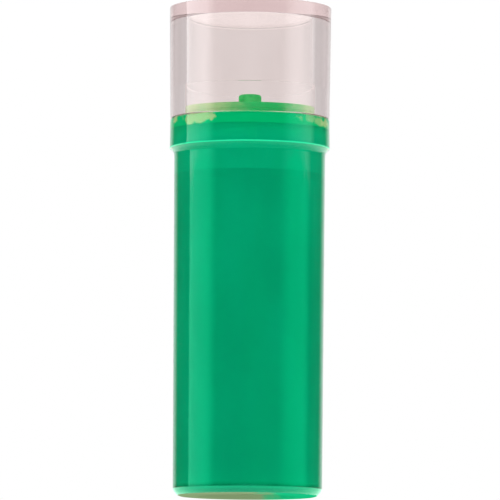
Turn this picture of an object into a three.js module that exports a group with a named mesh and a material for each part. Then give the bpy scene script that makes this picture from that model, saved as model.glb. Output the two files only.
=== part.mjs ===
// A refill cartridge for a free-ink highlighter: a slim tank full of ink, a valve seat pressed into its
// mouth, a closure plug that the marker's needle pushes in, and a clear cap that pulls off before use.
// Millimetres, +Z up along the cartridge's axis. The origin is the middle of the foot that it stands on.
import * as THREE from "three";

const SEGMENTS = 64; // facets round the axis, the same on every piece so that the pieces nest facet to facet
const ARC_STEPS = 3; // points along half of each rounded edge
const SMALL_EDGE = 0.1; // break on moulded edges

// Heights above the foot
const TOP_Z = 48.5;
const CEILING_Z = 47.3;
const STEP_Z = 40.5; // where the cap's bore steps out
const SEAT_TOP_Z = 38.55;
const SEAM_Z = 37.35; // joint of tank and cap, and the underside of the valve seat's flange
const GROOVE_Z = 36.3; // bottom of the groove that the cap's tongue pushes into
const HEAD_Z = 34.55; // lower edge of the thicker head
const SHOULDER_Z = 33.75; // upper end of the tank's plain body
const SKIRT_Z = 31.6; // lower end of the valve seat's skirt
const FLOOR_Z = 0.8;

// Radii
const TOP_R = 8.02;
const SEAM_R = 7.89;
const HEAD_R = 7.93;
const BODY_TOP_R = 7.48;
const BODY_FOOT_R = 7.37;
const FOOT_CORNER = 0.95;
const CAVITY_R = 6.22;
const CAVITY_FLOOR_R = 6.12;
const CAVITY_CORNER = 0.5;
const MOUTH_BORE_R = 6.25; // tank's mouth, and so the skirt of the valve seat in it

// Foot of the tank
const FOOT_RING_R = 4.8;
const FOOT_RECESS = 0.4;
const GATE_R = 0.6;
const GATE_H = 0.25;

// Push fit of tank and cap: a tongue in a groove
const NECK_R = 7.0;
const GROOVE_R = 7.48;
const FIT_GAP = 0.02;
const TONGUE_ROOM = 0.1; // left free under the tongue

// Clear cap
const RIM_R = 7.95; // outer edge of its flat end
const CEILING_R = 6.12;
const BORE_STEP_R = 6.18; // bore above the step
const BELOW_STEP_R = 6.44;
const BORE_FOOT_R = 6.46;

// Valve seat
const FLANGE_R = 6.42;
const SKIRT_WALL = 0.55;
const SKIRT_LEAD = 0.3;
const WEB = 0.8;
const HOLE_R = 2.9;
const COLLAR_R = 3.5;
const COLLAR_Z = 36.7;
const HOLE_LEAD = 0.2;

// Closure plug: its nub stands up under the cap, where the needle pushes it
const PLUG_GAP = 0.03;
const PLUG_LIP_R = 3.4;
const PLUG_LIP = 0.5;
const PLUG_TRAVEL = 4;
const PLUG_CORE_R = 2.0;
const PLUG_CORE = 1.3;
const NUB_R = 1.13;
const NUB_H = 1.45;
const NUB_EDGE = 0.25;

// Ink
const INK_GAP = 0.05;
const INK_TOP_Z = 37.25;
const WELL_R = 3.7;

const clearPlastic = new THREE.MeshStandardMaterial({
  color: 0xdcd2d0,
  roughness: 0.12,
  metalness: 0,
  transparent: true,
  opacity: 0.35,
});
const tankPlastic = new THREE.MeshStandardMaterial({
  color: 0xcfe8dc,
  roughness: 0.18,
  metalness: 0,
  transparent: true,
  opacity: 0.4,
});
const softPlastic = new THREE.MeshStandardMaterial({
  color: 0x9fdc7c,
  roughness: 0.4,
  metalness: 0,
});
const ink = new THREE.MeshStandardMaterial({
  color: 0x069a66,
  roughness: 0.1,
  metalness: 0,
});

// A closed body turned from its half section, which is drawn as radius across and height up.
function turned(name, section, material) {
  const geometry = new THREE.LatheGeometry(section.getPoints(ARC_STEPS), SEGMENTS);
  geometry.rotateX(Math.PI / 2);
  const mesh = new THREE.Mesh(geometry, material);
  mesh.name = name;
  return mesh;
}

// Straight runs through the given [radius, height] points.
function through(section, ...points) {
  for (const [radius, height] of points) section.lineTo(radius, height);
}

// A quarter round from where the section is now, turning about [radius, height] from angle to angle.
function quarter(section, [radius, height], size, from, to) {
  const turn = Math.PI / 180;
  section.absarc(radius, height, size, from * turn, to * turn, to < from);
}

function makeTank() {
  const s = new THREE.Path();
  s.moveTo(0, FOOT_RECESS - GATE_H);
  through(s, [GATE_R, FOOT_RECESS - GATE_H], [GATE_R, FOOT_RECESS]);
  through(s, [FOOT_RING_R - FOOT_RECESS, FOOT_RECESS], [FOOT_RING_R, 0]);
  quarter(s, [BODY_FOOT_R - FOOT_CORNER, FOOT_CORNER], FOOT_CORNER, -90, 0);
  s.lineTo(BODY_TOP_R, SHOULDER_Z);
  const middleR = (BODY_TOP_R + HEAD_R) / 2;
  const middleZ = (SHOULDER_Z + HEAD_Z) / 2;
  s.quadraticCurveTo(BODY_TOP_R, middleZ - SMALL_EDGE, middleR, middleZ);
  s.quadraticCurveTo(HEAD_R, middleZ + SMALL_EDGE, HEAD_R, HEAD_Z);
  through(s, [SEAM_R, SEAM_Z - SMALL_EDGE], [SEAM_R - SMALL_EDGE, SEAM_Z]);
  through(s, [GROOVE_R, SEAM_Z], [GROOVE_R, GROOVE_Z], [NECK_R, GROOVE_Z]);
  through(s, [NECK_R, SEAM_Z], [MOUTH_BORE_R, SEAM_Z]);
  through(s, [MOUTH_BORE_R, SKIRT_Z - SKIRT_LEAD], [CAVITY_R, SKIRT_Z - 2 * SKIRT_LEAD]);
  s.lineTo(CAVITY_FLOOR_R, FLOOR_Z + CAVITY_CORNER);
  quarter(s, [CAVITY_FLOOR_R - CAVITY_CORNER, FLOOR_Z + CAVITY_CORNER], CAVITY_CORNER, 0, -90);
  s.lineTo(0, FLOOR_Z);
  return turned("ink_tank", s, tankPlastic);
}

function makeCap() {
  const tongueInR = NECK_R + FIT_GAP;
  const tongueOutR = GROOVE_R - FIT_GAP;
  const tongueZ = GROOVE_Z + TONGUE_ROOM;
  const s = new THREE.Path();
  s.moveTo(0, CEILING_Z);
  through(s, [CEILING_R - SMALL_EDGE, CEILING_Z], [CEILING_R, CEILING_Z - SMALL_EDGE]);
  through(s, [BORE_STEP_R, STEP_Z], [BELOW_STEP_R, STEP_Z]);
  through(s, [BORE_FOOT_R, SEAM_Z], [tongueInR, SEAM_Z]);
  through(s, [tongueInR, tongueZ], [tongueOutR, tongueZ], [tongueOutR, SEAM_Z]);
  through(s, [SEAM_R - SMALL_EDGE, SEAM_Z], [SEAM_R, SEAM_Z + SMALL_EDGE]);
  const rimEdge = TOP_R - RIM_R;
  quarter(s, [RIM_R, TOP_Z - rimEdge], rimEdge, 0, 90);
  s.lineTo(0, TOP_Z);
  return turned("clear_cap", s, clearPlastic);
}

function makeSeat() {
  const skirtR = MOUTH_BORE_R - FIT_GAP;
  const skirtInR = skirtR - SKIRT_WALL;
  const webZ = SEAT_TOP_Z - WEB;
  const s = new THREE.Path();
  s.moveTo(skirtInR, SKIRT_Z);
  through(s, [skirtR - SKIRT_LEAD / 2, SKIRT_Z], [skirtR, SKIRT_Z + SKIRT_LEAD]);
  through(s, [skirtR, SEAM_Z], [FLANGE_R, SEAM_Z]);
  through(s, [FLANGE_R, SEAT_TOP_Z - SMALL_EDGE], [FLANGE_R - SMALL_EDGE, SEAT_TOP_Z]);
  through(s, [HOLE_R + HOLE_LEAD, SEAT_TOP_Z], [HOLE_R, SEAT_TOP_Z - HOLE_LEAD]);
  through(s, [HOLE_R, COLLAR_Z], [COLLAR_R, COLLAR_Z], [COLLAR_R, webZ]);
  through(s, [skirtInR - SKIRT_LEAD, webZ], [skirtInR, webZ - SKIRT_LEAD], [skirtInR, SKIRT_Z]);
  return turned("valve_seat", s, softPlastic);
}

function makePlug() {
  const plugR = HOLE_R - PLUG_GAP;
  const lipTop = COLLAR_Z - PLUG_GAP;
  const foot = lipTop - PLUG_LIP;
  const s = new THREE.Path();
  s.moveTo(0, foot + PLUG_CORE);
  through(s, [PLUG_CORE_R, foot + PLUG_CORE], [PLUG_CORE_R, foot]);
  through(s, [PLUG_LIP_R - SMALL_EDGE, foot], [PLUG_LIP_R, foot + SMALL_EDGE], [PLUG_LIP_R, lipTop]);
  through(s, [plugR, lipTop], [plugR, SEAT_TOP_Z - HOLE_LEAD], [plugR - HOLE_LEAD, SEAT_TOP_Z]);
  const nubTop = SEAT_TOP_Z + NUB_H;
  through(s, [NUB_R, SEAT_TOP_Z]);
  quarter(s, [NUB_R - NUB_EDGE, nubTop - NUB_EDGE], NUB_EDGE, 0, 90);
  s.lineTo(0, nubTop);
  return turned("closure_plug", s, softPlastic);
}

// The ink fills the tank and the skirt of the valve seat, with a well under the plug as deep as its travel.
function makeInk() {
  const wallR = CAVITY_R - INK_GAP;
  const floorR = CAVITY_FLOOR_R - INK_GAP;
  const floorZ = FLOOR_Z + INK_GAP;
  const shoulderZ = SKIRT_Z - 2 * SKIRT_LEAD;
  const neckR = MOUTH_BORE_R - FIT_GAP - SKIRT_WALL - INK_GAP;
  const plugFoot = COLLAR_Z - PLUG_GAP - PLUG_LIP;
  const s = new THREE.Path();
  s.moveTo(0, floorZ);
  s.lineTo(floorR - CAVITY_CORNER, floorZ);
  quarter(s, [floorR - CAVITY_CORNER, floorZ + CAVITY_CORNER], CAVITY_CORNER, -90, 0);
  through(s, [wallR, shoulderZ], [neckR, SKIRT_Z - INK_GAP], [neckR, INK_TOP_Z]);
  const wellZ = plugFoot - PLUG_TRAVEL - INK_GAP;
  through(s, [WELL_R, INK_TOP_Z], [WELL_R, wellZ], [0, wellZ]);
  return turned("ink_charge", s, ink);
}

const cartridge = new THREE.Group();
cartridge.name = "ink_cartridge";
cartridge.add(makeTank(), makeCap(), makeSeat(), makePlug(), makeInk());

export default cartridge;
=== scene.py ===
# %% [markdown]
# # An ink refill cartridge for a highlighter
# The object is small and simple, and nearly all of its looks come from light that passes through it:
# a slim clear tank, the green ink inside, a clear cap, and a soft plastic valve between them.
# The frame holds every size and place. This lesson remakes each piece with a finer surface and real finishes.

# %% Load the frame
import math

import bpy
import numpy as np
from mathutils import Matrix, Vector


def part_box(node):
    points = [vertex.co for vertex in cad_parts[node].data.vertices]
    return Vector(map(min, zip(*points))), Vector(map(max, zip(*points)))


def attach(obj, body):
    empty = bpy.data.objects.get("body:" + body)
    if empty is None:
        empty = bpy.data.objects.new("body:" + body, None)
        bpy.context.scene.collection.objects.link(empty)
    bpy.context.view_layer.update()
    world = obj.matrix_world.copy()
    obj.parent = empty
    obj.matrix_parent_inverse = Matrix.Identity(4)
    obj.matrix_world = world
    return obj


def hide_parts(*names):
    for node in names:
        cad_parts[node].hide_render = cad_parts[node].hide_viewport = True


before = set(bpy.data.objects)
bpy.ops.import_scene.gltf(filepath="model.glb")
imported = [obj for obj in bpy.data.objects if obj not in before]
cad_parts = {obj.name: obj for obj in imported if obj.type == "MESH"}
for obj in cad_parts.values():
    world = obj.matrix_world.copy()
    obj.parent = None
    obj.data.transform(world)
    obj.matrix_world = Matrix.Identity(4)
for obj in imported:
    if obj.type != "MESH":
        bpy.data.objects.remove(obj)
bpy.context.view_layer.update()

MM = 0.001

# %% [markdown]
# ## Measures taken from the frame
# Each node's box gives its lowest and highest point and its radius, so the main sizes are read, not typed.
# Only what a box can't tell, such as a wall or a small radius, is a named value in millimetres further down.
# The disc and its nub sit a little lower than drawn, pushed home into the tank.

# %% Read the main heights and radii
DISC_DOWN = 0.15


def node_mm(name):
    """Lowest height, highest height and outer radius of a node, in millimetres."""
    low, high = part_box(name)
    return low.z / MM, high.z / MM, high.x / MM


head_r = node_mm("ink_tank")[2]
tongue_z, top_z, cap_r = node_mm("clear_cap")
skirt_z, seat_z, flange_r = node_mm("valve_seat")
plug_z, nub_z, lip_r = node_mm("closure_plug")
seat_z -= DISC_DOWN
nub_z -= DISC_DOWN
ink_z = node_mm("ink_charge")[1]
print(f"cartridge {top_z:.2f} mm tall, head {2 * head_r:.2f} mm across, seat top at {seat_z:.2f} mm")

# %% Sizes that a box can't tell, in millimetres
EDGE = 0.1
FIT_GAP = 0.02
SEAM_Z = 37.35
SEAM_R = 7.89
HEAD_Z = 34.55
SHOULDER_Z = 33.75
BODY_TOP_R = 7.48
BODY_FOOT_R = 7.37
FOOT_CORNER = 0.95
FOOT_RING_R = 4.8
FOOT_RECESS = 0.4
NECK_R = 7.0
GROOVE_R = 7.48
GROOVE_Z = 36.3
NECK_BORE_R = 6.25
CAVITY_R = 6.22
CAVITY_FLOOR_R = 6.12
CAVITY_CORNER = 0.5
FLOOR_Z = 0.8
print("wall of the tank", round(BODY_TOP_R - CAVITY_R, 2), "mm")

# %% [markdown]
# ## Turning a section
# Every piece here is round, so one helper turns them all. A section is drawn as stretches of points, radius
# across and height up, and each stretch may have a finish of its own, such as the wetted part of a wall.
# A screw modifier could do it too, but building the rings ourselves lets each stretch carry its own material,
# and lets us add a ring close to each edge, which keeps smooth shading from bending the refraction there.

# %% Section helpers
SEGMENTS = 240
HOLD = 0.04
SHARP = math.radians(40)


def arc(radius, height, size, start, end, steps=8):
    """Points of a rounded edge about (radius, height), from one angle in degrees to the other."""
    angles = np.radians(np.linspace(start, end, steps + 1))
    return [(radius + size * math.cos(a), height + size * math.sin(a)) for a in angles]


def held(points, slots, closed):
    """Adds a ring close to each end of every long straight run, so that smooth shading stays at its ends."""
    out, out_slots = [], []
    for k, p in enumerate(points):
        last = points[k - 1] if k or closed else None
        if last is not None and math.dist(last, p) > 4 * HOLD:
            share = HOLD / math.dist(last, p)
            for t in (share, 1 - share):
                out.append(tuple(a + (b - a) * t for a, b in zip(last, p)))
                out_slots.append(slots[k])
        out.append(p)
        out_slots.append(slots[k])
    return out, out_slots


# %% [markdown]
# The lathe itself turns the points into rings, joins the rings with faces, and closes the section's ends on
# the axis, or on each other. Edges sharper than a set angle stay crisp.

# %% The lathe
def turned(name, stretches, finishes, closed=False):
    """A turned mesh object. stretches is a list of (finish, points in mm), finishes the list of materials."""
    points, slots = [], []
    for finish, stretch in stretches:
        for p in stretch:
            if not points or math.dist(points[-1], p) > 1e-6:
                points.append(p)
                slots.append(finishes.index(finish))
    points, slots = held(points, slots, closed)
    turn = np.linspace(0, 2 * math.pi, SEGMENTS, endpoint=False)
    verts, rings = [], []
    for r, z in points:
        if r < 1e-6:
            rings.append([len(verts)] * SEGMENTS)
            verts.append((0, 0, z * MM))
            continue
        rings.append(list(range(len(verts), len(verts) + SEGMENTS)))
        verts += [(r * math.cos(a) * MM, r * math.sin(a) * MM, z * MM) for a in turn]
    faces, face_slots = [], []
    pairs = list(zip(range(len(points) - 1), range(1, len(points))))
    if closed:
        pairs.append((len(points) - 1, 0))
    for a, b in pairs:
        for i in range(SEGMENTS):
            j = (i + 1) % SEGMENTS
            ring = [rings[a][i], rings[a][j], rings[b][j], rings[b][i]]
            face = [v for k, v in enumerate(ring) if v not in ring[:k]]
            if len(face) > 2:
                faces.append(face)
                face_slots.append(slots[b])
    mesh = bpy.data.meshes.new(name)
    mesh.from_pydata(verts, [], faces)
    for finish in finishes:
        mesh.materials.append(finish)
    mesh.polygons.foreach_set("material_index", face_slots)
    mesh.shade_smooth()
    mesh.set_sharp_from_angle(angle=SHARP)
    piece = bpy.data.objects.new(name, mesh)
    bpy.context.scene.collection.objects.link(piece)
    print(name, len(faces), "faces")
    return piece


# %% [markdown]
# Each piece then takes the place of a node in the frame, and moves with that node's body.

# %% Stand a piece in the frame
def stand_in(piece, body, node):
    """The piece moves with a body and stands for a node."""
    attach(piece, body)
    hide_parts(node)


# %% [markdown]
# ## Building a finish
# Each finish is one Principled shader fed by noise on Object coordinates. The noise has two jobs: a shallow
# bump like the slow ripple of a moulded face, and a roughness that rises along fine scratches from handling.
# Object coordinates stay with the piece, so the pattern doesn't slide when the cap is pulled off.

# %% Node helpers
def add(tree, kind, values=None, **settings):
    """A new shader node. A value that is another node's socket is linked, any other is set."""
    made = tree.nodes.new("ShaderNode" + kind)
    for key, value in settings.items():
        setattr(made, key, value)
    for socket, value in (values or {}).items():
        if isinstance(value, bpy.types.NodeSocket):
            tree.links.new(value, made.inputs[socket])
        else:
            made.inputs[socket].default_value = value
    return made


def grain(tree, size, stretch=1.0, detail=2.0):
    """Noise with cells about size millimetres across, drawn out along the axis by stretch."""
    place = add(tree, "TexCoord").outputs["Object"]
    scaled = add(tree, "Mapping", {"Vector": place, "Scale": (1, 1, 1 / stretch)}).outputs[0]
    noise = add(tree, "TexNoise", {"Vector": scaled, "Scale": 1 / (size * MM), "Detail": detail})
    return noise.outputs["Fac"]


def spread(tree, value, low, high, to_low, to_high, smooth=True):
    """Maps a value from one span to another, and holds it there beyond the ends."""
    kind = "SMOOTHSTEP" if smooth else "LINEAR"
    span = {"Value": value, "From Min": low, "From Max": high, "To Min": to_low, "To Max": to_high}
    return add(tree, "MapRange", span, interpolation_type=kind).outputs["Result"]


# %% [markdown]
# A colour often fades into another by a mask, and every finish here starts as one plain plastic.

# %% Colour and plastic
def blend(tree, share, one, other):
    """A colour that goes from one to the other as the share goes from 0 to 1."""
    mix = add(tree, "Mix", {0: share}, data_type="RGBA")
    for socket, colour in ((6, one), (7, other)):
        if isinstance(colour, bpy.types.NodeSocket):
            tree.links.new(colour, mix.inputs[socket])
        else:
            mix.inputs[socket].default_value = colour
    return mix.outputs[2]


def plastic(name, **sockets):
    """A new material with one Principled shader, its plain sockets set by name."""
    material = bpy.data.materials.new(name)
    material.use_nodes = True
    shader = material.node_tree.nodes["Principled BSDF"]
    for socket, value in sockets.items():
        shader.inputs[socket.replace("_", " ")].default_value = value
    return material, shader


# %% [markdown]
# Three treatments go on top of a plain plastic: a tint that grows with thickness, the ripple and scratches
# that every moulded and handled face has, and faint clouds of dye.

# %% Treatments
def absorbing(material, colour, density):
    """Fills a clear material: light fades by density per metre, less where the colour is high."""
    tree = material.node_tree
    node = add(tree, "VolumeAbsorption", {"Color": (*colour, 1), "Density": density})
    tree.links.new(node.outputs["Volume"], tree.nodes["Material Output"].inputs["Volume"])


SCRATCH_SIZE = 0.3
SCRATCH_STRETCH = 14.0


def handled(material, shader, ripple, depth, stretch, smooth, scratched):
    """Moulded ripple as bump, and fine scratches along the axis as roughness."""
    tree = material.node_tree
    wave = grain(tree, ripple, stretch)
    bump = add(tree, "Bump", {"Height": wave, "Distance": depth * MM, "Strength": 1.0})
    tree.links.new(bump.outputs["Normal"], shader.inputs["Normal"])
    scratches = grain(tree, SCRATCH_SIZE, SCRATCH_STRETCH, 5.0)
    rough = spread(tree, scratches, 0.5, 0.75, smooth, scratched)
    tree.links.new(rough, shader.inputs["Roughness"])


def dyed(material, shader, thick):
    """Faint clouds of dye in clear plastic, thick millimetres across."""
    tree = material.node_tree
    clouds = spread(tree, grain(tree, thick, 4.0, 3.0), 0.4, 0.62, 0.0, 1.0)
    tree.links.new(blend(tree, clouds, UNDYED, FAINT_DYE), shader.inputs["Base Color"])


# %% [markdown]
# ## The clear cap
# The cap is hard clear plastic, faintly pink and grey where light crosses more of it. Absorption inside the
# plastic gives that tint by thickness, which a coloured surface can't: edges come out darker by themselves.

# %% Cap plastic
CAP_TINT = (0.934, 0.896, 0.886, 1)
CAP_CLOUDY = (0.913, 0.870, 0.859, 1)
CAP_FADE = (0.735, 0.633, 0.638)
CAP_DENSITY = 150
CLOUD_SIZE = 2.5
PLASTIC_IOR = 1.49
cap_clear, shader = plastic("cap_clear", Base_Color=CAP_TINT, IOR=PLASTIC_IOR, Transmission_Weight=1.0)
handled(cap_clear, shader, 2.5, 0.0012, 1.5, 0.015, 0.09)
absorbing(cap_clear, CAP_FADE, CAP_DENSITY)
tree = cap_clear.node_tree
clouds = spread(tree, grain(tree, CLOUD_SIZE, 4.0, 3.0), 0.4, 0.62, 0.0, 1.0)
tree.links.new(blend(tree, clouds, CAP_TINT, CAP_CLOUDY), shader.inputs["Base Color"])
print("cap_clear fades light by", CAP_DENSITY, "per metre")

# %% [markdown]
# Only the cap's outside shines: its bore is held dull, because a mirror on each of four walls would veil
# what stands inside. So the gloss is a mask, by radius on the side and by height on the flat end.

# %% Cap gloss
OUTER_R = 7.7
CROWN_LOW = top_z - 0.5
CROWN_HIGH = top_z - 0.3
GLOSS = 0.5
place = add(tree, "TexCoord").outputs["Object"]
across = add(tree, "VectorMath", {0: place, 1: (1, 1, 0)}, operation="MULTIPLY").outputs[0]
radius = add(tree, "VectorMath", {0: across}, operation="LENGTH").outputs["Value"]
height = add(tree, "SeparateXYZ", {0: place}).outputs["Z"]
side = spread(tree, radius, (OUTER_R - 0.05) * MM, OUTER_R * MM, 0.0, GLOSS)
crown = spread(tree, height, CROWN_LOW * MM, CROWN_HIGH * MM, 0.0, GLOSS)
gloss = add(tree, "Math", {0: side, 1: crown}, operation="MAXIMUM").outputs[0]
tree.links.new(gloss, shader.inputs["Specular IOR Level"])
print("the cap shines beyond radius", OUTER_R, "and above", round(CROWN_LOW, 2), "mm")

# %% [markdown]
# Light can be trapped in a thick clear wall. It isn't followed for ever, and where it is dropped the wall
# would be black, so after a few bounces the wall shows a painted glow of its own colour, light that no lamp
# gives, in place of the light that is dropped.

# %% Cap painted glow
MOST_BOUNCES = 3.5
PAINTED_GLOW_COLOUR = (0.62, 0.53, 0.52, 1)
bounces = add(tree, "LightPath").outputs["Glossy Depth"]
trapped = add(tree, "Math", {0: bounces, 1: MOST_BOUNCES}, operation="GREATER_THAN").outputs[0]
painted_glow_haze = add(tree, "Emission", {"Color": PAINTED_GLOW_COLOUR})
with_painted_glow_when_trapped = add(tree, "MixShader", {0: trapped, 1: shader.outputs[0], 2: painted_glow_haze.outputs[0]})
tree.links.new(with_painted_glow_when_trapped.outputs[0], tree.nodes["Material Output"].inputs["Surface"])
print("haze after", math.ceil(MOST_BOUNCES), "bounces")

# %% [markdown]
# The cap's section runs from the middle of the ceiling down the bore, over a ledge where the bore steps out,
# round the tongue that pushes into the tank, and up the outside to the flat end.

# %% Cap shape
CEILING_Z = 47.3
CEILING_R = 6.16
CEILING_EDGE = 0.1
STEP_Z = 40.5
BORE_STEP_R = 6.2
BELOW_STEP_R = 6.44
BORE_FOOT_R = 6.46
RIM_R = 7.98
cap_z = SEAM_Z + FIT_GAP
tongue_in = NECK_R + FIT_GAP
tongue_out = GROOVE_R - FIT_GAP
inner = [(0, CEILING_Z)]
inner += arc(CEILING_R - CEILING_EDGE, CEILING_Z - CEILING_EDGE, CEILING_EDGE, 90, 0, 4)
inner += [(BORE_STEP_R, STEP_Z), (BELOW_STEP_R, STEP_Z), (BORE_FOOT_R, cap_z), (tongue_in, cap_z)]
outer = [(tongue_in, tongue_z), (tongue_out, tongue_z), (tongue_out, cap_z), (SEAM_R - EDGE, cap_z)]
rim_edge = cap_r - RIM_R
outer += [(SEAM_R, SEAM_Z + EDGE)] + arc(RIM_R, top_z - rim_edge, rim_edge, 0, 90) + [(0, top_z)]
cap = turned("cap", [(cap_clear, inner + outer)], [cap_clear])
stand_in(cap, "cap", "clear_cap")

# %% [markdown]
# ## The tank
# The tank's outside is polished plastic. Inside, ink wets the wall, and where a liquid touches plastic there
# is hardly any reflection, so that stretch has an index of refraction of 1: light crosses it with no mirror.
# Its reflections are tinted green, because the plastic carries some of the dye.

# %% Tank plastic
DYE = (0.03, 1.0, 0.6, 1)
UNDYED = (1.0, 1.0, 1.0, 1)
FAINT_DYE = (0.95, 0.985, 0.965, 1)
WALL_CLOUDS = 3.0


def tank_plastic(name, index=PLASTIC_IOR, smooth=0.02, scratched=0.1):
    """Clear plastic with faint dye, rippled along the tank."""
    wall, shader = plastic(name, Base_Color=UNDYED, IOR=index, Transmission_Weight=1.0)
    handled(wall, shader, 3.0, 0.0010, 6.0, smooth, scratched)
    dyed(wall, shader, WALL_CLOUDS)
    return wall, shader


tank_clear, shader = tank_plastic("tank_clear")
shader.inputs["Specular Tint"].default_value = DYE
shader.inputs["Specular IOR Level"].default_value = 1.0
tank_hollow, shader = tank_plastic("tank_hollow")
shader.inputs["Specular Tint"].default_value = DYE
shader.inputs["Specular IOR Level"].default_value = 0.0
tank_wet = tank_plastic("tank_wet", index=1.0, smooth=0.0, scratched=0.02)[0]
print("finishes", tank_clear.name, tank_hollow.name, tank_wet.name)

# %% [markdown]
# The lip under the head and the rim of the foot get a finish with a painted glow: a bright green edge that
# shines though no lamp lights it.

# %% Painted glow on edges
PAINTED_EDGE_GLOW = (0.05, 1.0, 0.52, 1)
LIP_PAINTED_GLOW = 0.4
RIM_PAINTED_GLOW = 0.25


def painted_glow_edge(name, strength):
    """The tank's plastic with a painted glow on an edge."""
    edge, shader = tank_plastic(name)
    shader.inputs["Specular Tint"].default_value = DYE
    shader.inputs["Emission Color"].default_value = PAINTED_EDGE_GLOW
    shader.inputs["Emission Strength"].default_value = strength
    return edge


tank_lip_painted_glow = painted_glow_edge("tank_lip_painted_glow", LIP_PAINTED_GLOW)
tank_rim_painted_glow = painted_glow_edge("tank_rim_painted_glow", RIM_PAINTED_GLOW)
print("finishes", tank_lip_painted_glow.name, tank_rim_painted_glow.name)

# %% [markdown]
# The frosted underside is olive, a painted reflection of the grey floor over the green, and turns clear green
# towards one side.

# %% Underside
OLIVE_PAINTED_REFLECTION = (0.27, 0.36, 0.20, 1)
GREEN = (0.01, 0.50, 0.24, 1)
GREEN_FROM = 0.5
GREEN_TO = 3.5
UNEVEN = 1.2
tank_foot, shader = plastic("tank_foot", Base_Color=OLIVE_PAINTED_REFLECTION, IOR=1.0)
handled(tank_foot, shader, 0.4, 0.004, 1.0, 0.4, 0.6)
tree = tank_foot.node_tree
side = add(tree, "SeparateXYZ", {0: add(tree, "TexCoord").outputs["Object"]}).outputs["X"]
patchy = spread(tree, grain(tree, 1.5, 1.0, 3.0), 0.3, 0.7, -UNEVEN * MM, UNEVEN * MM, False)
along = add(tree, "Math", {0: side, 1: patchy}, operation="ADD").outputs[0]
green = spread(tree, along, GREEN_FROM * MM, GREEN_TO * MM, 0.0, 1.0)
# The olive side of this blend is the painted reflection of the floor.
tree.links.new(blend(tree, green, OLIVE_PAINTED_REFLECTION, GREEN), shader.inputs["Base Color"])
print("underside green from", GREEN_FROM, "to", GREEN_TO, "mm to the right")

# %% [markdown]
# ## Ink in the joint
# Ink has crept into the groove under the cap, except for a few dry pockets that stay pale. Each pocket is a
# blob about a point on the wall, its edge made ragged by noise. The film has a faint painted glow, light that
# no lamp gives.
# A pocket is given by its bearing from the front in degrees, its height, its size, and how dry it is.

# %% Joint finish
FILM = (0.0012, 0.56, 0.19, 1)
DRY = (0.47, 0.70, 0.30, 1)
POCKETS = (
    (-39, 36.95, 1.3, 0.95),
    (-48, 36.9, 1.1, 1.0),
    (-71, 37.0, 0.7, 1.0),
    (40, 37.0, 0.5, 0.35),
    (51, 36.95, 0.75, 0.45),
    (61, 36.85, 0.9, 0.6),
    (73, 36.75, 0.9, 1.0),
    (150, 36.9, 1.4, 0.7),
    (-120, 36.7, 1.2, 0.6),
)
FLATTEN = 2.4
RAGGED = 0.55
SOFT_EDGE = 0.25
FILM_PAINTED_GLOW = 0.1


def pockets(tree):
    """1 in the dry pockets and 0 in the film."""
    place = add(tree, "TexCoord").outputs["Object"]
    flat = add(tree, "VectorMath", {0: place, 1: (1, 1, FLATTEN)}, operation="MULTIPLY").outputs[0]
    ragged = spread(tree, grain(tree, 0.8, 1.0, 4.0), 0.3, 0.7, -RAGGED * MM, RAGGED * MM, False)
    found = None
    for bearing, height, size, dryness in POCKETS:
        a = math.radians(bearing)
        centre = (GROOVE_R * math.sin(a) * MM, -GROOVE_R * math.cos(a) * MM, height * FLATTEN * MM)
        away = add(tree, "VectorMath", {0: flat, 1: centre}, operation="DISTANCE").outputs["Value"]
        rough = add(tree, "Math", {0: away, 1: ragged}, operation="ADD").outputs[0]
        blob = spread(tree, rough, (size - SOFT_EDGE) * MM, (size + SOFT_EDGE) * MM, dryness, 0.0)
        found = add(tree, "Math", {0: found, 1: blob}, operation="MAXIMUM").outputs[0] if found else blob
    return found


def with_painted_glow(tree, shader, tone, strength):
    """Gives the shader a colour, and a faint painted glow in the same colour, light that no lamp gives."""
    tree.links.new(tone, shader.inputs["Base Color"])
    tree.links.new(tone, shader.inputs["Emission Color"])
    shader.inputs["Emission Strength"].default_value = strength


joint_film, shader = plastic("joint_film", Base_Color=FILM, IOR=1.0)
tree = joint_film.node_tree
with_painted_glow(tree, shader, blend(tree, pockets(tree), FILM, DRY), FILM_PAINTED_GLOW)
handled(joint_film, shader, 0.8, 0.003, 1.0, 0.4, 0.6)
print("joint film with", len(POCKETS), "dry pockets")

# %% [markdown]
# The tank's section runs from the gate mark under the foot, round its rim, up the plain body, through the
# hollow and over the lip to the head, then into the groove, over the neck and down the wet inside.
# A point under the head is a share of the way out and a share of the way up.

# %% Tank shape
HOLLOW = ((0.02, 0.15), (0.06, 0.28), (0.14, 0.4), (0.27, 0.52), (0.45, 0.63), (0.68, 0.74), (0.9, 0.84))
LIP = ((0.9, 0.84), (0.96, 0.88), (0.99, 0.93), (1.0, 1.0))
GATE_R = 0.6
GATE_Z = 0.15
RIM_TOP_Z = 0.75
CAVITY_Z = 31.0
LEAD = 0.3


def under_head(shares):
    """Points between the top of the plain body and the head's lower edge."""
    out, up = head_r - BODY_TOP_R, HEAD_Z - SHOULDER_Z
    return [(BODY_TOP_R + out * share, SHOULDER_Z + up * rise) for share, rise in shares]


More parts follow.
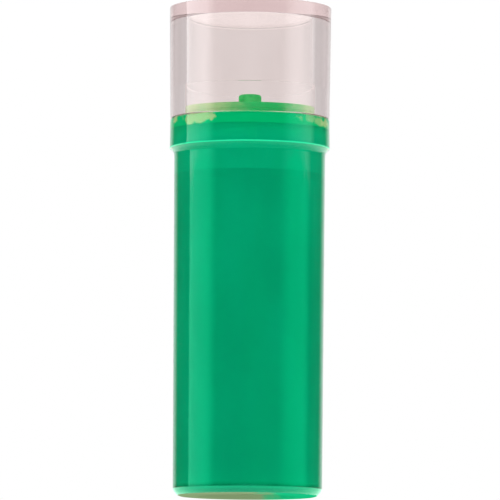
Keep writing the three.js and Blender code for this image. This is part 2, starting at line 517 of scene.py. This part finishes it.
corner = [BODY_FOOT_R - FOOT_CORNER, FOOT_CORNER, FOOT_CORNER]
under = [(0, GATE_Z), (GATE_R, GATE_Z), (GATE_R, FOOT_RECESS), (FOOT_RING_R - FOOT_RECESS, FOOT_RECESS)]
under += [(FOOT_RING_R, 0)] + arc(*corner, -90, -60, 3)
base_rim = [p for p in arc(*corner, -60, 0, 6) if p[1] < RIM_TOP_Z] + [(BODY_FOOT_R - 0.005, RIM_TOP_Z)]
plain = [(BODY_FOOT_R, FOOT_CORNER), (BODY_TOP_R, SHOULDER_Z)]
outside = [(SEAM_R, SEAM_Z - EDGE), (SEAM_R - EDGE, SEAM_Z), (GROOVE_R, SEAM_Z)]
neck = [(NECK_R, GROOVE_Z), (NECK_R, SEAM_Z), (NECK_BORE_R, SEAM_Z)]
inside = [(NECK_BORE_R, skirt_z - LEAD), (CAVITY_R, CAVITY_Z)]
inside += arc(CAVITY_FLOOR_R - CAVITY_CORNER, FLOOR_Z + CAVITY_CORNER, CAVITY_CORNER, 0, -90)
inside += [(0, FLOOR_Z)]
stretches = [
    (tank_foot, under),
    (tank_rim_painted_glow, base_rim),
    (tank_clear, plain),
    (tank_hollow, under_head(HOLLOW)),
    (tank_lip_painted_glow, under_head(LIP)),
    (tank_clear, outside),
    (joint_film, [(GROOVE_R, GROOVE_Z)]),
    (tank_clear, neck),
    (tank_wet, inside),
]
finishes = [tank_clear, tank_wet, tank_foot, tank_lip_painted_glow, tank_rim_painted_glow, tank_hollow, joint_film]
tank = turned("tank", stretches, finishes)
stand_in(tank, "cartridge", "ink_tank")

# %% [markdown]
# ## The ink
# Highlighter ink is so strong that a few millimetres look solid. A surface that scatters green light, with a
# little let through, gives that depth better than a clear liquid, which would show the far wall.

# %% Ink finish
INK_LIGHT = (0.0012, 0.46, 0.210, 1)
INK_DEEP = (0.0010, 0.42, 0.190, 1)
ink_body, shader = plastic("ink_body", Base_Color=INK_LIGHT, IOR=1.0)
tree = ink_body.node_tree
cloud = spread(tree, grain(tree, 5.0, 2.5, 3.0), 0.35, 0.65, 0.0, 1.0)
tree.links.new(blend(tree, cloud, INK_DEEP, INK_LIGHT), shader.inputs["Base Color"])
handled(ink_body, shader, 1.6, 0.004, 3.0, 0.4, 0.6)
print("ink clouds between", INK_DEEP[1], "and", INK_LIGHT[1], "green")

# %% [markdown]
# The ink fills the tank to a hair's breadth from the wall, and stands inside the skirt of the seat, with a
# well in the middle as deep as the plug travels.

# %% Ink shape
GAP = 0.01
SKIRT_WALL = 0.55
SKIRT_R = NECK_BORE_R - FIT_GAP
SKIRT_IN_R = SKIRT_R - SKIRT_WALL
WELL_R = 3.7
WELL_Z = 32.0
MEET_Z = skirt_z + LEAD - 0.03
under_skirt = skirt_z - 2 * GAP
wet = [(0, FLOOR_Z + GAP)]
wet += arc(CAVITY_FLOOR_R - GAP - CAVITY_CORNER, FLOOR_Z + GAP + CAVITY_CORNER, CAVITY_CORNER, -90, 0)
wet += [(CAVITY_R - GAP, CAVITY_Z), (NECK_BORE_R - GAP, skirt_z - LEAD), (NECK_BORE_R - GAP, MEET_Z)]
wet += [(SKIRT_R - LEAD / 2 - GAP, under_skirt), (SKIRT_IN_R - GAP, under_skirt)]
wet += [(SKIRT_IN_R - GAP, ink_z), (WELL_R, ink_z), (WELL_R, WELL_Z), (0, WELL_Z)]
ink = turned("ink", [(ink_body, wet)], [ink_body])
stand_in(ink, "cartridge", "ink_charge")

# %% [markdown]
# ## Bubbles in the ink
# A few tiny air bubbles cling to the wall where the skirt ends. A node tree scatters them, and they need a
# finish first, which the tree gives to each of them.

# %% Bubble finish
BUBBLE_PALE = (0.03, 0.62, 0.34, 1)
bubble_skin, shader = plastic("bubble_skin", Base_Color=BUBBLE_PALE, IOR=1.0)
handled(bubble_skin, shader, 0.1, 0.0004, 1.0, 0.2, 0.4)
tree = bubble_skin.node_tree
tint = spread(tree, grain(tree, 0.3, 1.0, 2.0), 0.35, 0.65, 0.0, 1.0)
tree.links.new(blend(tree, tint, INK_LIGHT, BUBBLE_PALE), shader.inputs["Base Color"])
print("finish", bubble_skin.name)

# %% [markdown]
# The tree takes a surface, a radius, a flatness and a density. It scatters points on the surface, puts a ball
# on each, turned to face outwards, and gives each ball a size of its own, flattened against the wall. The
# seeds are fixed, so the bubbles are the same each time.

# %% Froth tree
BUBBLE_SEED = 7
SMALLEST = 0.45
BALL_FINENESS = 3
froth = bpy.data.node_groups.new("froth", "GeometryNodeTree")
sockets = {}
inputs = {"Geometry": "Geometry", "Radius": "Float", "Flatness": "Float", "Density": "Float"}
for label, kind in inputs.items():
    made = froth.interface.new_socket(label, in_out="INPUT", socket_type="NodeSocket" + kind)
    sockets[label] = made.identifier
froth.interface.new_socket("Geometry", in_out="OUTPUT", socket_type="NodeSocketGeometry")


def step(kind, values=None):
    """A new node of the tree. A value that is another node's socket is linked, any other is set."""
    made = froth.nodes.new(kind)
    for socket, value in (values or {}).items():
        if isinstance(value, bpy.types.NodeSocket):
            froth.links.new(value, made.inputs[socket])
        else:
            made.inputs[socket].default_value = value
    return made


given = step("NodeGroupInput").outputs
surface = {"Mesh": given["Geometry"], "Density": given["Density"], "Seed": BUBBLE_SEED}
points = step("GeometryNodeDistributePointsOnFaces", surface).outputs
ball = step("GeometryNodeMeshIcoSphere", {"Radius": given["Radius"], "Subdivisions": BALL_FINENESS})
vary = step("FunctionNodeRandomValue", {2: SMALLEST, 3: 1.0, "Seed": BUBBLE_SEED}).outputs[1]
flat = step("ShaderNodeMath", {0: vary, 1: given["Flatness"]})
flat.operation = "MULTIPLY"
size = step("ShaderNodeCombineXYZ", {"X": vary, "Y": vary, "Z": flat.outputs[0]}).outputs[0]
balls = {"Points": points["Points"], "Rotation": points["Rotation"], "Scale": size}
placed = step("GeometryNodeInstanceOnPoints", {"Instance": ball.outputs["Mesh"], **balls})
real = step("GeometryNodeRealizeInstances", {0: placed.outputs[0]})
dressed = step("GeometryNodeSetMaterial", {"Geometry": real.outputs[0], "Material": bubble_skin})
step("NodeGroupOutput", {0: dressed.outputs[0]})
print("froth tree with", len(froth.nodes), "nodes")

# %% [markdown]
# A band just inside the wall is the surface. The result becomes a plain mesh, and the band is thrown away.

# %% Bubbles along the wall
BUBBLES_LOW = 29.8
BUBBLES_HIGH = 31.1
BUBBLE_R = 0.085
BUBBLE_FLAT = 0.3
BUBBLES_PER_MM2 = 0.55
BAND_FACES = 96
BALL_FACES = 320
band_r = (CAVITY_R - 0.03) * MM
band_points = []
for z in (BUBBLES_LOW, BUBBLES_HIGH):
    for i in range(BAND_FACES):
        a = 2 * math.pi * i / BAND_FACES
        band_points.append((band_r * math.cos(a), band_r * math.sin(a), z * MM))
band_faces = []
for i in range(BAND_FACES):
    j = (i + 1) % BAND_FACES
    band_faces.append((i, j, BAND_FACES + j, BAND_FACES + i))
band = bpy.data.meshes.new("bubble_band")
band.from_pydata(band_points, [], band_faces)
carrier = bpy.data.objects.new("bubble_band", band)
bpy.context.scene.collection.objects.link(carrier)
modifier = carrier.modifiers.new("froth", "NODES")
modifier.node_group = froth
modifier[sockets["Radius"]] = BUBBLE_R * MM
modifier[sockets["Flatness"]] = BUBBLE_FLAT
modifier[sockets["Density"]] = BUBBLES_PER_MM2 / MM**2
graph = bpy.context.evaluated_depsgraph_get()
bubble_mesh = bpy.data.meshes.new_from_object(carrier.evaluated_get(graph), depsgraph=graph)
bpy.data.objects.remove(carrier)
bubbles = bpy.data.objects.new("bubbles", bubble_mesh)
bpy.context.scene.collection.objects.link(bubbles)
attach(bubbles, "cartridge")
print("bubbles", len(bubble_mesh.polygons) // BALL_FACES, "balls")

# %% [markdown]
# ## The valve seat
# The seat is a soft pale disc with a skirt that plugs the tank. Ink creeps up between skirt and neck by
# capillary action, so the skirt is green nearly to the seam, with a ragged edge, and the disc's rim is
# stained where the ink came over, with painted light from the ink below laid over the stain. The stain is a
# mask on the piece itself: height, bearing and noise.

# %% Soaked skirt
THIN_FILM = (0.0012, 0.54, 0.215, 1)
FILM_LOW = 34.6
FILM_Z = 36.6
SKIRT_PAINTED_GLOW = 0.08
seat_soaked, shader = plastic("seat_soaked", Base_Color=INK_LIGHT, IOR=1.0)
tree = seat_soaked.node_tree
height = add(tree, "SeparateXYZ", {0: add(tree, "TexCoord").outputs["Object"]}).outputs["Z"]
uneven = spread(tree, grain(tree, 2.0, 1.0, 3.0), 0.3, 0.7, -0.4 * MM, 0.4 * MM, False)
level = add(tree, "Math", {0: height, 1: uneven}, operation="ADD").outputs[0]
thinner = spread(tree, level, FILM_LOW * MM, FILM_Z * MM, 0.0, 1.0)
# The skirt gets a faint painted glow in its own colours, light that no lamp gives.
with_painted_glow(tree, shader, blend(tree, thinner, INK_LIGHT, THIN_FILM), SKIRT_PAINTED_GLOW)
handled(seat_soaked, shader, 1.0, 0.003, 1.0, 0.4, 0.6)
print("skirt's film thins from", FILM_LOW, "to", FILM_Z, "mm")

# %% [markdown]
# The disc is stained green, and on the stain lies painted light, the green of the ink below shining through
# the disc, so the green is strongest in front and fades to both sides. Two falls across the disc and one from
# front to back are multiplied, and noise mottles their edge. The disc also has a faint painted glow.

# %% Stained disc with painted light
SEAT_PALE = (0.60, 0.80, 0.38, 1)
STAINED_AND_LIT_GREEN = (0.003, 0.62, 0.14, 1)
STAIN_AND_LIGHT_LEFT = (-5.4, 0.6)
STAIN_AND_LIGHT_RIGHT = (2.6, 5.6)
STAIN_AND_LIGHT_FRONT = (-4.6, -3.2)
MOTTLE = 0.5
DISC_PAINTED_GLOW = 0.3
SOFT_INDEX = 1.45
SOFT_SHINE = 0.02
seat_soft, shader = plastic("seat_soft", Base_Color=SEAT_PALE, IOR=SOFT_INDEX)
shader.inputs["Specular IOR Level"].default_value = SOFT_SHINE
tree = seat_soft.node_tree
place = add(tree, "SeparateXYZ", {0: add(tree, "TexCoord").outputs["Object"]})
mottle = spread(tree, grain(tree, 0.7, 0.6, 4.0), 0.3, 0.7, -MOTTLE * MM, MOTTLE * MM, False)
across = add(tree, "Math", {0: place.outputs["X"], 1: mottle}, operation="ADD").outputs[0]
front = spread(tree, place.outputs["Y"], STAIN_AND_LIGHT_FRONT[0] * MM, STAIN_AND_LIGHT_FRONT[1] * MM, 1.0, 0.45)
left_end = spread(tree, across, STAIN_AND_LIGHT_LEFT[0] * MM, STAIN_AND_LIGHT_LEFT[1] * MM, 0.0, 1.0)
right_end = spread(tree, across, STAIN_AND_LIGHT_RIGHT[0] * MM, STAIN_AND_LIGHT_RIGHT[1] * MM, 1.0, 0.4)
side = add(tree, "Math", {0: left_end, 1: right_end}, operation="MULTIPLY").outputs[0]
stain_and_painted_light = add(tree, "Math", {0: front, 1: side}, operation="MULTIPLY").outputs[0]
with_painted_glow(tree, shader, blend(tree, stain_and_painted_light, SEAT_PALE, STAINED_AND_LIT_GREEN), DISC_PAINTED_GLOW)
handled(seat_soft, shader, 0.5, 0.003, 1.0, 0.3, 0.5)
print("stain from", STAIN_AND_LIGHT_LEFT[0], "to", STAIN_AND_LIGHT_RIGHT[1], "mm across the disc")

# %% [markdown]
# The seat's section is a closed loop: under the collar, along the web, down and up the skirt, out under the
# flange, up its edge with a small bead, and over the disc to the hole.

# %% Seat shape
HOLE_R = 2.9
HOLE_LEAD = 0.2
COLLAR_R = 3.5
COLLAR_Z = 36.7
WEB_Z = seat_z - 0.8
BEAD_Z = 37.85
BEAD = 0.06
flange_z = SEAM_Z + GAP
flange_in_r = flange_r - BEAD
soaked = [(HOLE_R, COLLAR_Z), (COLLAR_R, COLLAR_Z), (COLLAR_R, WEB_Z), (SKIRT_IN_R - LEAD, WEB_Z)]
soaked += [(SKIRT_IN_R, WEB_Z - LEAD), (SKIRT_IN_R, skirt_z), (SKIRT_R - LEAD / 2, skirt_z)]
soaked += [(SKIRT_R, skirt_z + LEAD), (SKIRT_R, FILM_Z)]
soft = [(SKIRT_R, flange_z), (flange_in_r, flange_z), (flange_in_r, BEAD_Z - BEAD), (flange_r, BEAD_Z)]
soft += [(flange_r, seat_z - EDGE), (flange_r - EDGE, seat_z)]
soft += [(HOLE_R + HOLE_LEAD, seat_z), (HOLE_R, seat_z - HOLE_LEAD), (HOLE_R, COLLAR_Z)]
seat = turned("seat", [(seat_soaked, soaked), (seat_soft, soft)], [seat_soft, seat_soaked], closed=True)
stand_in(seat, "cartridge", "valve_seat")

# %% [markdown]
# ## The closure plug
# The plug fills the seat's hole, and its nub is what the marker's needle pushes. It is the same soft plastic,
# but soaked, so it is nearly as green as the ink.

# %% Plug finish
PLUG_SOAKED = (0.006, 0.52, 0.11, 1)
PLUG_PALE = (0.04, 0.66, 0.17, 1)
PLUG_PAINTED_GLOW = 0.2
plug_soft, shader = plastic("plug_soft", Base_Color=PLUG_SOAKED, IOR=SOFT_INDEX)
shader.inputs["Specular IOR Level"].default_value = SOFT_SHINE
tree = plug_soft.node_tree
cloud = spread(tree, grain(tree, 0.9, 1.0, 3.0), 0.35, 0.65, 0.0, 1.0)
# The plug gets a faint painted glow in its own colours, light that no lamp gives.
with_painted_glow(tree, shader, blend(tree, cloud, PLUG_SOAKED, PLUG_PALE), PLUG_PAINTED_GLOW)
handled(plug_soft, shader, 0.5, 0.003, 1.0, 0.3, 0.5)
print("finish", plug_soft.name)

# %% [markdown]
# The plug is cored out from below, has a lip that catches under the seat's collar, and ends in the nub.

# %% Plug shape
NUB_R = 1.13
NUB_EDGE = 0.25
PLUG_GAP = 0.03
CORE_R = 2.0
core_z = plug_z + 1.3
plug_r = HOLE_R - PLUG_GAP
lip_top = COLLAR_Z - PLUG_GAP
section = [(0, core_z), (CORE_R, core_z), (CORE_R, plug_z), (lip_r - EDGE, plug_z), (lip_r, plug_z + EDGE)]
section += [(lip_r, lip_top), (plug_r, lip_top), (plug_r, seat_z - HOLE_LEAD), (plug_r - HOLE_LEAD, seat_z)]
section += [(NUB_R, seat_z)] + arc(NUB_R - NUB_EDGE, nub_z - NUB_EDGE, NUB_EDGE, 0, 90) + [(0, nub_z)]
plug = turned("plug", [(plug_soft, section)], [plug_soft])
stand_in(plug, "closure", "closure_plug")

# %% [markdown]
# ## The studio
# A pale floor, a white surround, and two tall softboxes that show only as bands in the gloss. The floor lies
# a hair under the foot, gives some light of its own, and can be seen through from below.

# %% Floor
FLOOR_HALF = 1.5
FLOOR_DROP = -0.0001
FLOOR_LIGHT = 0.76
floor_mesh = bpy.data.meshes.new("floor")
corners = [(-1, -1), (1, -1), (1, 1), (-1, 1)]
floor_mesh.from_pydata([(x * FLOOR_HALF, y * FLOOR_HALF, FLOOR_DROP) for x, y in corners], [], [(0, 1, 2, 3)])
floor = bpy.data.objects.new("floor", floor_mesh)
bpy.context.scene.collection.objects.link(floor)
paper, shader = plastic("paper", Base_Color=(0.6, 0.6, 0.6, 1), Roughness=0.9)
shader.inputs["Emission Color"].default_value = (1, 1, 1, 1)
shader.inputs["Emission Strength"].default_value = FLOOR_LIGHT
tree = paper.node_tree
from_below = add(tree, "NewGeometry").outputs["Backfacing"]
see_through = add(tree, "BsdfTransparent").outputs[0]
mix = add(tree, "MixShader", {0: from_below, 1: shader.outputs[0], 2: see_through})
tree.links.new(mix.outputs[0], tree.nodes["Material Output"].inputs["Surface"])
floor_mesh.materials.append(paper)
print("floor", 2 * FLOOR_HALF, "m across, clear from below")

# %% [markdown]
# The surround is white. It is brighter overhead and far out to the sides, and a little less bright between.

# %% Surround
REFLECTED = 0.05
ZENITH = 1.4
FLANK = 0.82
SIDE = 1.45
BEHIND = 0.9
world = bpy.data.worlds.new("studio")
bpy.context.scene.world = world
world.use_nodes = True
tree = world.node_tree
back = tree.nodes["Background"]
back.inputs["Color"].default_value = (1, 1, 1, 1)
towards = add(tree, "SeparateXYZ", {0: add(tree, "TexCoord").outputs["Generated"]}).outputs
rise = spread(tree, towards["Z"], 0.1, 0.8, 1.0, ZENITH)
flank = add(tree, "Math", {0: towards["X"]}, operation="ABSOLUTE").outputs[0]
fall = spread(tree, flank, 0.2, 0.5, 1.0, FLANK)
swell = spread(tree, flank, 0.72, 0.95, 1.0, SIDE)
round_about = add(tree, "Math", {0: fall, 1: swell}, operation="MULTIPLY").outputs[0]
strength = add(tree, "Math", {0: rise, 1: round_about}, operation="MULTIPLY").outputs[0]
tree.links.new(strength, back.inputs["Strength"])
print("surround from", FLANK, "to", ZENITH)

# %% [markdown]
# Mirrored in the gloss, a white surround would wash out the green, so a reflected look finds it dim, except
# straight behind and above.

# %% Surround in a mirror
path = add(tree, "LightPath").outputs
mirror = add(tree, "Math", {0: path["Is Glossy Ray"], 1: path["Is Reflection Ray"]}, operation="MULTIPLY")
backdrop = spread(tree, towards["Y"], 0.75, 0.92, REFLECTED, BEHIND)
overhead = spread(tree, towards["Z"], 0.145, 0.17, 0.0, BEHIND)
mirrored = add(tree, "Math", {0: backdrop, 1: overhead}, operation="MAXIMUM").outputs[0]
dim = add(tree, "Background", {"Color": (1, 1, 1, 1), "Strength": mirrored})
mix = add(tree, "MixShader", {0: mirror.outputs[0], 1: back.outputs[0], 2: dim.outputs[0]})
tree.links.new(mix.outputs[0], tree.nodes["World Output"].inputs["Surface"])
print("mirrored surround", REFLECTED, "and behind", BEHIND)

# %% [markdown]
# Two tall panels give the two bright bands. Each fades towards its edges, which softens the band. A green gel
# covers the part that the tank mirrors, and the part above it, which the cap mirrors, stays white.

# %% Softboxes
GEL_TOP = 0.070
GEL_FADE = 0.004
LEFT_GEL = (0.3, 1.0, 0.78, 1)
RIGHT_GEL = (0.04, 1.0, 0.62, 1)
WHITE = (1, 1, 1, 1)


def softbox(name, azimuth, near_fade, far_fade, half_angle, radiance, gel, distance=0.6, tall=1.0):
    """A glowing panel seen only in reflections. Its brightness fades towards its front and back edges."""
    wide, high = distance * math.tan(math.radians(half_angle)), tall / 2
    mesh = bpy.data.meshes.new(name)
    mesh.from_pydata([(x * wide, y * high, 0) for x, y in corners], [], [(0, 1, 2, 3)])
    panel = bpy.data.objects.new(name, mesh)
    a = math.radians(azimuth)
    panel.location = (distance * math.sin(a), -distance * math.cos(a), top_z * MM / 2)
    panel.rotation_euler = (math.pi / 2, 0, a)
    bpy.context.scene.collection.objects.link(panel)
    glow = bpy.data.materials.new(name)
    glow.use_nodes = True
    tree = glow.node_tree
    place = add(tree, "SeparateXYZ", {0: add(tree, "TexCoord").outputs["Object"]}).outputs
    left_fade, right_fade = (near_fade, far_fade) if azimuth > 0 else (far_fade, near_fade)
    from_left = spread(tree, place["X"], -wide, left_fade - wide, 0.0, radiance)
    from_right = spread(tree, place["X"], wide, wide - right_fade, 0.0, 1.0)
    strength = add(tree, "Math", {0: from_left, 1: from_right}, operation="MULTIPLY").outputs[0]
    above = spread(tree, place["Y"], GEL_TOP, GEL_TOP + GEL_FADE, 0.0, 1.0)
    light = add(tree, "Emission", {"Color": blend(tree, above, gel, WHITE), "Strength": strength})
    tree.links.new(light.outputs[0], tree.nodes["Material Output"].inputs["Surface"])
    mesh.materials.append(glow)
    panel.visible_camera = False
    panel.visible_transmission = False
    panel.visible_diffuse = False
    panel.visible_shadow = False


softbox("left_softbox", -76, near_fade=0.26, far_fade=0.02, half_angle=28, radiance=3.4, gel=LEFT_GEL)
softbox("right_softbox", 77, near_fade=0.32, far_fade=0.26, half_angle=33, radiance=2.5, gel=RIGHT_GEL)
print("two softboxes, white above", GEL_TOP, "m over their middle")

# %% [markdown]
# The camera stands a little below the cartridge's foot and looks up at it through a long lens.

# %% Camera
STAND = (0, -0.54, -0.025)
AIM_X = 0.0001
AIM_UP = 0.00017
ROLL = 0.4
LENS = 394.6
camera_data = bpy.data.cameras.new("camera")
camera_data.lens = LENS
camera_data.clip_start = 0.01
camera = bpy.data.objects.new("camera", camera_data)
bpy.context.scene.collection.objects.link(camera)
bpy.context.scene.camera = camera
camera.location = STAND
aim = camera.location.copy()
aim.x, aim.y, aim.z = AIM_X, 0, top_z * MM / 2 + AIM_UP
camera.rotation_euler = (aim - camera.location).to_track_quat("-Z", "Y").to_euler()
camera.rotation_euler.rotate_axis("Z", math.radians(ROLL))
bpy.context.scene.view_settings.view_transform = "Standard"
print("camera", -STAND[1], "m in front, lens", LENS)
